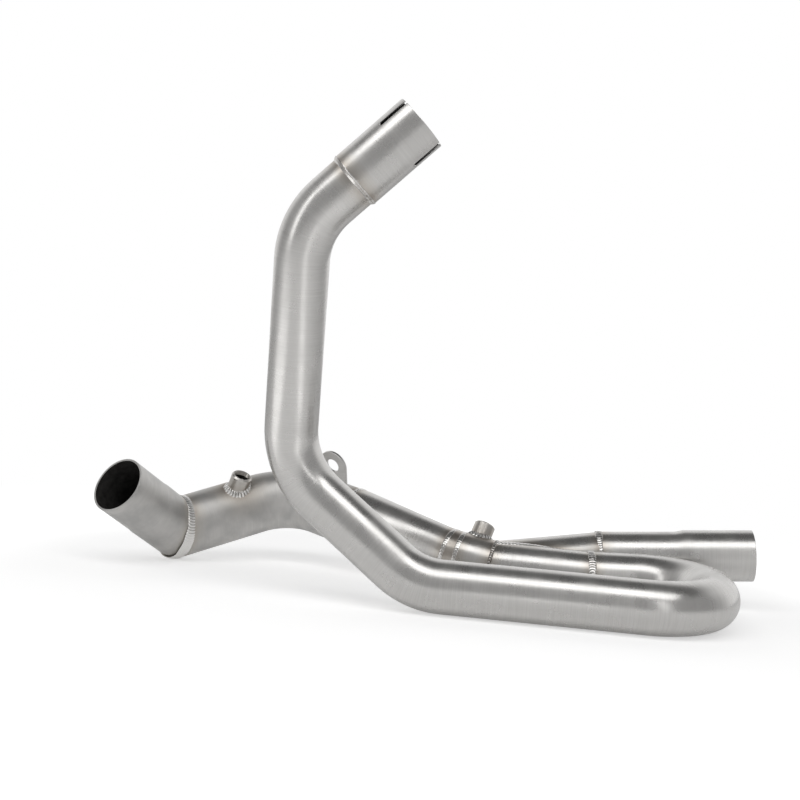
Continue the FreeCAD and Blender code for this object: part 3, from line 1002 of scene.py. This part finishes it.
def saw_slot(piece, p, outward):
    """Saw a clamp slot with a round end through one side of the rear socket."""
    loop = loop_sizes()
    end = p.rear_mouth - p.rear_axis * (loop.slot_length - loop.slot_width / 2)
    drill(piece, end + outward * p.socket_bore / 2, end + outward * p.socket_radius * SLOT_PAST,
          loop.slot_width / 2)
    turn = Matrix((outward.cross(p.rear_axis), outward, p.rear_axis)).transposed()
    cut_with(piece, add(
        "saw", bpy.ops.mesh.primitive_cube_add, size=1, rotation=turn.to_euler(),
        location=end + outward * p.socket_radius + p.rear_axis * loop.slot_length / 2,
        scale=(loop.slot_width, p.socket_radius, loop.slot_length)))


def drill_for_sensor(piece, mount, tube_radius):
    """Drill a tube below a sensor boss, from the boss's head to the tube's centre line."""
    head, axis = mount_end(mount)
    drill(piece, head, head - axis * (outlet_sizes().boss_height + tube_radius), mount_radius(mount))


def bead_form(kind):
    """Width and crown of a kind of bead, and shares of ripples, burnt notches and brown all over."""
    weld = weld_sizes()
    return BeadForm(*{
        "butt": (weld.width, weld.crown, 1.0, 0.6, 0.0),
        "browned": (weld.browned_width, weld.crown, 1.0, 1.0, 0.1),
        "flush": (weld.width, weld.flush_crown, 0.6, 0.8, 0.2),
        "dressed": (weld.width, weld.flush_crown, 0.2, 1.0, 0.35),
        "thin": (weld.thin_width, weld.crown, 1.0, 1.0, 0.45),
        "crotch": (weld.crotch_width, weld.crotch_crown, 1.0, 0.6, 0.0),
        "mitre": (weld.mitre_width, weld.mitre_crown, 1.0, 0.5, 0.0),
        "boss": (weld.fillet_width, weld.fillet_crown, 1.0, 0.9, 0.0),
        "tab": (weld.tab_width, weld.tab_crown, 1.0, 0.6, 0.0),
    }[kind])


def lay_bead(node, seam):
    """Weld bead along a seam: a grid wrapped round the seam's line, with a ripple at every step.

    The underside of the mitred corner is ground smooth. The crotch seams have two open ends."""
    weld = weld_sizes()
    form = bead_form(seam.kind)
    closed = seam.kind != "crotch"
    ripples = round(seam.length / weld.ripple)
    piece = add(node + "_bead", bpy.ops.mesh.primitive_grid_add, x_subdivisions=ripples * RIPPLE_FACES,
                y_subdivisions=BEAD_SIDES, size=1)
    valleys = []
    for vertex in piece.data.vertices:
        along, turn = vertex.co.x + 0.5, math.tau * (vertex.co.y + 0.5)
        c, s = math.cos(turn), math.sin(turn)
        point, outward, side = seam.at(along % 1.0 if closed else along)
        count, step = divmod(along * ripples + RIPPLE_TRAIL * c * c, 1.0)
        lobe = math.sin(math.pi * step) * (1 - RIPPLE_DIP * math.sin(RIPPLE_BEAT * (count % ripples)))
        lobe = 1 - (1 - min(1.0, lobe)) * form.relief
        if seam.kind == "mitre":
            rippled = (outward.z - GROUND_BELOW) / (RIPPLED_ABOVE - GROUND_BELOW)
            lobe = 1 - (1 - lobe) * min(1.0, max(0.0, rippled))
        uneven = 1 + sum(swing * math.sin(math.tau * waves * along + start)
                         for swing, waves, start in WIDTH_WAVES)
        half_width = form.width / 2 * uneven * (1 - SCALLOP * (1 - lobe))
        crown = form.crown * (TROUGH + (1 - TROUGH) * lobe)
        height = (crown if s > 0 else weld.root) * s
        vertex.co = point + side * (c * half_width) + outward * height
        notch = (1 - lobe) * (NOTCH_MIDDLE + (1 - NOTCH_MIDDLE) * c * c)
        valleys.append(min(1.0, form.browned + form.burnt * notch))
    piece.data.attributes.new("valley", "FLOAT", "POINT").data.foreach_set("value", valleys)
    edit(piece)
    bpy.ops.mesh.remove_doubles(threshold=MERGE_DISTANCE)
    if not closed:
        bpy.ops.mesh.fill_holes(sides=0)
    align_faces()
    complete(piece, node, "weld_bead", bead_metal("weld_metal"), smooth=BEAD_SMOOTH_ANGLE)


def turn_boss(node, head, axis, bore):
    """Threaded boss with its bore, turned longer than it stands out of its tube."""
    out = outlet_sizes()
    radius = out.boss_diameter / 2
    root = bore + out.thread_depth
    depth = out.boss_height + radius
    work = TubeWork(node + "_turned", head - axis * depth, axis, radius, BOSS_SIDES)
    work.ring(depth - out.boss_chamfer, radius)
    work.ring(out.boss_chamfer, radius - out.boss_chamfer)
    work.ring(0, bore)
    work.ring(-out.thread_pitch / 2, root)
    turns = math.floor(depth / out.thread_pitch) - 2
    for _ in range(turns):
        work.ring(-out.thread_pitch / 2, bore)
        work.ring(-out.thread_pitch / 2, root)
    work.ring((turns + 0.5) * out.thread_pitch - depth, root)
    piece = work.skin()
    edit(piece)
    bpy.ops.mesh.select_all(action="DESELECT")
    bpy.ops.mesh.select_non_manifold()
    bpy.ops.mesh.bridge_edge_loops()
    align_faces()
    return piece


class LINKPIPE_OT_loop_tube(bpy.types.Operator):
    """Draw the loop tube from the rear socket down to the collector"""
    bl_idname = "link_pipe.loop_tube"
    bl_label = "Loop tube"

    def execute(self, context):
        p = layout()
        loop = loop_sizes()
        work = TubeWork("loop_tube_drawn", p.rear_end, -p.rear_axis, p.tube_radius)
        corners = [p.rear_end, p.upright_head, p.upright_foot, p.front_left, p.front_right,
                   p.return_corner, p.loop_end]
        work.follow(corners, [loop.bend_radius] * 3 + [p.return_radius] * 2)
        complete_tube(finish_tube(work, loop.tube_wall, heat_map(p)), "loop_tube")
        return {"FINISHED"}


class LINKPIPE_OT_rear_socket(bpy.types.Operator):
    """Draw the rear socket and saw its clamp slots"""
    bl_idname = "link_pipe.rear_socket"
    bl_label = "Rear socket"

    def execute(self, context):
        p = layout()
        loop = loop_sizes()
        work = TubeWork("rear_socket_sleeve", p.rear_joint, p.rear_axis, p.socket_radius)
        work.straight(loop.socket_length)
        piece = finish_tube(work, loop.socket_wall, heat_map(p))
        for step in range(loop.slot_count):
            clock = loop.slot_clock + step * math.tau / loop.slot_count
            saw_slot(piece, p, radial(p.rear_axis, clock))
        complete_tube(piece, "rear_socket")
        return {"FINISHED"}


class LINKPIPE_OT_front_inlet(bpy.types.Operator):
    """Draw the front inlet tube with its swaged socket"""
    bl_idname = "link_pipe.front_inlet"
    bl_label = "Front inlet"

    def execute(self, context):
        p = layout()
        loop = loop_sizes()
        socket = mount_length("front_header_socket")
        work = TubeWork("front_inlet_drawn", p.inlet_joint, p.inlet_axis, p.tube_radius)
        work.straight((p.inlet_mouth - p.inlet_joint).length - socket - loop.swage_length)
        work.straight(loop.swage_length, p.socket_radius)
        work.straight(socket)
        complete_tube(finish_tube(work, loop.tube_wall, heat_map(p)), "front_inlet_tube")
        return {"FINISHED"}


class LINKPIPE_OT_branches(bpy.types.Operator):
    """Cut the two branches of the merge collector to their shared plane"""
    bl_idname = "link_pipe.branches"
    bl_label = "Collector branches"

    def execute(self, context):
        p = layout()
        wall = loop_sizes().tube_wall
        heat = heat_map(p)
        spare = p.branch_radius
        branches = (("collector_lower_branch", p.loop_end, p.lower_axis, -p.back_leg_axis, p.merge_normal),
                    ("collector_upper_branch", p.inlet_joint, p.upper_axis, p.inlet_axis, -p.merge_normal))
        for node, joint, axis, joint_normal, other_side in branches:
            work = TubeWork(node + "_cut", p.ring - axis * spare, axis, p.branch_radius)
            work.straight((joint - p.ring).length + 2 * spare)
            cuts = ((joint, joint_normal), (p.ring, p.outlet_axis), (p.ring, other_side))
            complete_tube(finish_tube(work, wall, heat, cuts), node)
        return {"FINISHED"}


class LINKPIPE_OT_collector_outlet(bpy.types.Operator):
    """Cut the collector's outlet, its wedge ring and the riser cone"""
    bl_idname = "link_pipe.collector_outlet"
    bl_label = "Collector outlet and riser"

    def execute(self, context):
        p = layout()
        out = outlet_sizes()
        wall, land = out.collector_wall, out.riser_land
        heat = heat_map(p)
        spare = p.collector_radius / 2
        work = TubeWork("collector_outlet_cut", p.ring, p.outlet_axis, p.collector_radius)
        work.straight(out.collector_outlet + spare)
        piece = finish_tube(work, wall, heat, [(p.wedge_start, p.wedge_start_normal)])
        drill_for_sensor(piece, "collector_sensor_thread", p.collector_radius)
        complete_tube(piece, "collector_outlet")

        work = TubeWork("collector_wedge_cut", p.wedge_start - p.wedge_axis * spare, p.wedge_axis,
                        p.collector_radius)
        work.straight(out.wedge_length + 2 * spare)
        cuts = [(p.wedge_start, -p.wedge_start_normal), (p.wedge_end, p.wedge_end_normal)]
        complete_tube(finish_tube(work, wall, heat, cuts), "collector_wedge")

        work = TubeWork("riser_cone_rolled", p.wedge_end - p.riser_axis * land, p.riser_axis,
                        p.collector_radius)
        work.straight(2 * land)
        work.straight((p.riser_end - p.wedge_end).length - 2 * land, p.outlet_radius)
        work.straight(land)
        cuts = [(p.wedge_end, -p.wedge_end_normal)]
        complete_tube(finish_tube(work, wall, heat, cuts), "riser_cone")
        return {"FINISHED"}


class LINKPIPE_OT_outlet(bpy.types.Operator):
    """Draw the outlet tube over its crest and mitre the stub onto it"""
    bl_idname = "link_pipe.outlet"
    bl_label = "Outlet tube and stub"

    def execute(self, context):
        p = layout()
        out = outlet_sizes()
        heat = heat_map(p)
        work = TubeWork("outlet_tube_drawn", p.riser_end, p.riser_axis, p.outlet_radius)
        work.follow([p.riser_end, p.crest, p.outlet_corner], [out.outlet_bend])
        work.dome(PAST_MITRE)
        piece = finish_tube(work, out.outlet_wall, heat, [(p.outlet_corner, -p.mitre_normal)])
        drill_for_sensor(piece, "outlet_sensor_thread", p.outlet_radius)
        complete_tube(piece, "outlet_tube", "dull_tube")

        spigot = mount_length("outlet_spigot")
        work = TubeWork("outlet_stub_drawn", p.stub_mouth, -p.stub_axis, mount_radius("outlet_spigot"))
        work.straight(spigot)
        work.straight(out.spigot_taper, p.stub_radius)
        work.straight(out.stub_length - spigot - out.spigot_taper)
        work.dome(PAST_MITRE)
        piece = finish_tube(work, out.outlet_wall, heat, [(p.outlet_corner, p.mitre_normal)])
        complete_tube(piece, "outlet_stub", "dull_tube")
        return {"FINISHED"}


class LINKPIPE_OT_welds(bpy.types.Operator):
    """Lay a rippled bead along every seam"""
    bl_idname = "link_pipe.welds"
    bl_label = "Weld beads"

    def execute(self, context):
        for node, seam in seams(layout()).items():
            lay_bead(node, seam)
        return {"FINISHED"}


class LINKPIPE_OT_bosses(bpy.types.Operator):
    """Turn the two threaded sensor bosses and seat them on their tubes"""
    bl_idname = "link_pipe.bosses"
    bl_label = "Sensor bosses"

    def execute(self, context):
        p = layout()
        out = outlet_sizes()
        heat = heat_map(p)
        for run, line_point, line_axis, tube_radius in boss_seats(p):
            node, mount = f"{run}_sensor_boss", f"{run}_sensor_thread"
            head, axis = mount_end(mount)
            bore = mount_radius(mount)
            piece = turn_boss(node, head, axis, bore)
            drill(piece, line_point - line_axis * SEAT_BACK, line_point + line_axis * SEAT_AHEAD,
                  tube_radius - out.boss_sink)
            # Thread faces deeper than thread_shown take the bore's painted shade, so the hole reads dark
            for face in piece.data.polygons:
                below = (head - face.center).dot(axis)
                off_axis = face.center - head + axis * below
                inside = off_axis.length < bore + out.thread_depth
                face.material_index = int(inside and below > out.thread_shown)
            tint(piece, heat)
            complete(piece, node, "turned_boss", turned_metal("turned_steel"), shaded_bore_metal("painted_shade_bore"))
        return {"FINISHED"}


class LINKPIPE_OT_hanger_tab(bpy.types.Operator):
    """Cut the hanger tab from plate and set it on the crest"""
    bl_idname = "link_pipe.hanger_tab"
    bl_label = "Hanger tab"

    def execute(self, context):
        p = layout()
        out = outlet_sizes()
        through = p.tab_face * p.tab_thickness
        turn = Matrix((p.tab_up.cross(p.tab_face), p.tab_up, p.tab_face)).transposed()
        piece = add(
            "hanger_tab_plate", bpy.ops.mesh.primitive_circle_add, vertices=TAB_SIDES,
            radius=out.tab_width / 2, location=p.tab_hole - through / 2, rotation=turn.to_euler())
        settle()

        def height(place):
            return (place - p.tab_hole).dot(p.tab_up)

        pick_points(piece, lambda place: height(place) < -CLOSE)
        bpy.ops.mesh.delete(type="VERT")
        leave_edit()
        pick_points(piece, lambda place: abs(height(place)) < CLOSE)
        drop = (p.tab_hole - p.tab_foot).length - p.outlet_radius + out.tab_sink
        bpy.ops.mesh.extrude_vertices_move(TRANSFORM_OT_translate={"value": p.tab_up * -drop})
        bpy.ops.mesh.select_all(action="SELECT")
        bpy.ops.mesh.edge_face_add()
        bpy.ops.mesh.extrude_region_move(TRANSFORM_OT_translate={"value": through})
        align_faces()
        drill(piece, p.tab_hole - through, p.tab_hole + through, mount_radius("hanger_hole"))
        break_edges(piece)
        complete(piece, "hanger_tab", "tab_plate", plate_metal("plate_steel"))
        return {"FINISHED"}


# Stage

SENSOR_WIDTH = 36

# Softboxes: place, width, height and brightness
SOFTBOXES = {
    "overhead_softbox": ((0.0, -0.75, 1.45), 2.2, 0.75, 2.2),
    "left_strip": ((-1.55, -1.25, 0.75), 0.35, 1.5, 2.0),
    "right_strip": ((0.95, -1.75, 0.70), 0.22, 1.4, 2.0),
}

# White panels on the floor: place to the right and to the back, width and depth
FLOOR_PANELS = {
    "left_bounce": (-0.62, -0.34, 0.55, 0.40),
    "right_bounce": (0.12, -0.52, 0.14, 0.50),
}


def softbox(name, place, target, width, height, brightness):
    """Area light that faces a point, as bright as its face looks in a mirror."""
    light = bpy.data.lights.new(name, "AREA")
    light.shape = "RECTANGLE"
    light.size, light.size_y = width, height
    light.energy = brightness * math.pi * width * height
    lamp = bpy.data.objects.new(name, light)
    lamp.location = place
    lamp.rotation_euler = (target - place).to_track_quat("-Z", "Y").to_euler()
    lamp.visible_camera = False
    bpy.context.scene.collection.objects.link(lamp)


def grey(value):
    return value, value, value


def mix_shaders(tree, factor, first, second, end):
    """Show the second shader instead of the first by a factor."""
    mixed = tree.nodes.new("ShaderNodeMixShader")
    tree.links.new(factor, mixed.inputs["Fac"])
    tree.links.new(first.outputs[0], mixed.inputs[1])
    tree.links.new(second.outputs[0], mixed.inputs[2])
    tree.links.new(mixed.outputs[0], end.inputs["Surface"])


def floor_material(stage):
    """Pale floor: partly its own light, so that it stays near white and keeps a soft shadow."""
    material = bpy.data.materials.new("pale_floor")
    material.use_nodes = True
    tree = material.node_tree
    tree.nodes.clear()
    end = tree.nodes.new("ShaderNodeOutputMaterial")
    ground = tree.nodes.new("ShaderNodeBsdfDiffuse")
    ground.inputs["Color"].default_value = (*stage.floor, 1)
    glow = tree.nodes.new("ShaderNodeEmission")
    place = tree.nodes.new("ShaderNodeTexCoord")
    distance = tree.nodes.new("ShaderNodeVectorMath")
    distance.operation = "LENGTH"
    tree.links.new(place.outputs["Object"], distance.inputs[0])

    def fade_from(near):
        return ramp(tree, distance.outputs["Value"], stage.floor_near, stage.floor_far, near,
                    shape="SMOOTHSTEP")

    tree.links.new(fade_from(stage.floor_light), glow.inputs["Strength"])
    rays = tree.nodes.new("ShaderNodeLightPath")
    shown = product(tree, rays.outputs["Is Camera Ray"], fade_from(stage.floor_glow))
    mirrored = tree.nodes.new("ShaderNodeMath")
    mirrored.operation = "MULTIPLY_ADD"
    mirrored.inputs[1].default_value = stage.floor_mirrored
    tree.links.new(rays.outputs["Is Glossy Ray"], mirrored.inputs[0])
    tree.links.new(shown, mirrored.inputs[2])
    mix_shaders(tree, mirrored.outputs[0], ground, glow, end)
    return material


def studio_world(stage):
    """White to the camera; to the metal, a grey room with a white backdrop and a dark ceiling."""
    world = bpy.data.worlds.new("studio")
    bpy.context.scene.world = world
    world.use_nodes = True
    tree = world.node_tree
    tree.nodes.clear()
    end = tree.nodes.new("ShaderNodeOutputWorld")
    place = tree.nodes.new("ShaderNodeTexCoord")
    parts = tree.nodes.new("ShaderNodeSeparateXYZ")
    tree.links.new(place.outputs["Generated"], parts.inputs[0])
    behind = ramp(tree, parts.outputs["Y"], stage.backdrop_start, stage.backdrop_end,
                  shape="SMOOTHSTEP")
    above = ramp(tree, parts.outputs["Z"], stage.ceiling_start, stage.ceiling_end,
                 shape="SMOOTHSTEP")
    room = blend(tree, behind, grey(stage.room_front), grey(stage.room_back))
    room = blend(tree, above, room, grey(stage.room_ceiling))
    lit = tree.nodes.new("ShaderNodeBackground")
    tree.links.new(room, lit.inputs["Color"])
    white = tree.nodes.new("ShaderNodeBackground")
    white.inputs["Color"].default_value = (1, 1, 1, 1)
    rays = tree.nodes.new("ShaderNodeLightPath")
    mix_shaders(tree, rays.outputs["Is Camera Ray"], lit, white, end)


class LINKPIPE_OT_stage(bpy.types.Operator):
    """Set the floor, the studio light and the camera"""
    bl_idname = "link_pipe.stage"
    bl_label = "Stage"

    def execute(self, context):
        stage = context.scene.link_pipe_stage
        floor = add("studio_floor", bpy.ops.mesh.primitive_plane_add, size=stage.floor_size)
        floor.data.materials.append(floor_material(stage))
        studio_world(stage)
        target = UP * stage.target_height
        for name, (place, width, height, brightness) in SOFTBOXES.items():
            softbox(name, Vector(place), target, width, height, brightness)
        for name, (right, back, width, depth) in FLOOR_PANELS.items():
            place = Vector((right, back, stage.panel_height))
            softbox(name, place, place + UP, width, depth, stage.bounce)

        camera = bpy.data.objects.new("photo_camera", bpy.data.cameras.new("photo_camera"))
        camera.data.lens = stage.lens
        camera.data.sensor_width = SENSOR_WIDTH
        camera.data.sensor_fit = "HORIZONTAL"
        place = layout().front_left + Vector((stage.camera_right, -stage.camera_front, 0))
        place.z = stage.camera_height
        camera.matrix_world = (Matrix.Translation(place) @ Matrix.Rotation(stage.camera_heading, 4, "Z")
                               @ Matrix.Rotation(math.pi / 2 + stage.camera_tilt, 4, "X")
                               @ Matrix.Rotation(stage.camera_roll, 4, "Z"))
        context.scene.collection.objects.link(camera)
        context.scene.camera = camera
        context.scene.view_settings.view_transform = "Standard"
        return {"FINISHED"}


OPERATORS = (LINKPIPE_OT_loop_tube, LINKPIPE_OT_rear_socket, LINKPIPE_OT_front_inlet, LINKPIPE_OT_branches,
             LINKPIPE_OT_collector_outlet, LINKPIPE_OT_outlet, LINKPIPE_OT_welds, LINKPIPE_OT_bosses,
             LINKPIPE_OT_hanger_tab, LINKPIPE_OT_stage)


class LINKPIPE_PT_panel(bpy.types.Panel):
    """The link pipe's pieces, in the order that they are made"""
    bl_label = "Link pipe"
    bl_idname = "LINKPIPE_PT_panel"
    bl_space_type = "VIEW_3D"
    bl_region_type = "UI"
    bl_category = "Link pipe"

    def draw(self, context):
        for operator in OPERATORS:
            self.layout.operator(operator.bl_idname)


GROUPS = {"link_pipe_loop": LoopSizes, "link_pipe_outlet": OutletSizes, "link_pipe_welds": WeldSizes,
          "link_pipe_finish": Finish, "link_pipe_stage": StageSettings}


def register():
    for kind in (*GROUPS.values(), *OPERATORS, LINKPIPE_PT_panel):
        bpy.utils.register_class(kind)
    for name, group in GROUPS.items():
        setattr(bpy.types.Scene, name, bpy.props.PointerProperty(type=group))


def unregister():
    for name in GROUPS:
        delattr(bpy.types.Scene, name)
    for kind in (LINKPIPE_PT_panel, *reversed(OPERATORS), *reversed(list(GROUPS.values()))):
        bpy.utils.unregister_class(kind)


def main():
    register()
    bpy.ops.link_pipe.loop_tube()
    bpy.ops.link_pipe.rear_socket()
    bpy.ops.link_pipe.front_inlet()
    bpy.ops.link_pipe.branches()
    bpy.ops.link_pipe.collector_outlet()
    bpy.ops.link_pipe.outlet()
    bpy.ops.link_pipe.welds()
    bpy.ops.link_pipe.bosses()
    bpy.ops.link_pipe.hanger_tab()
    bpy.ops.link_pipe.stage()


if __name__ == "__main__":
    main()
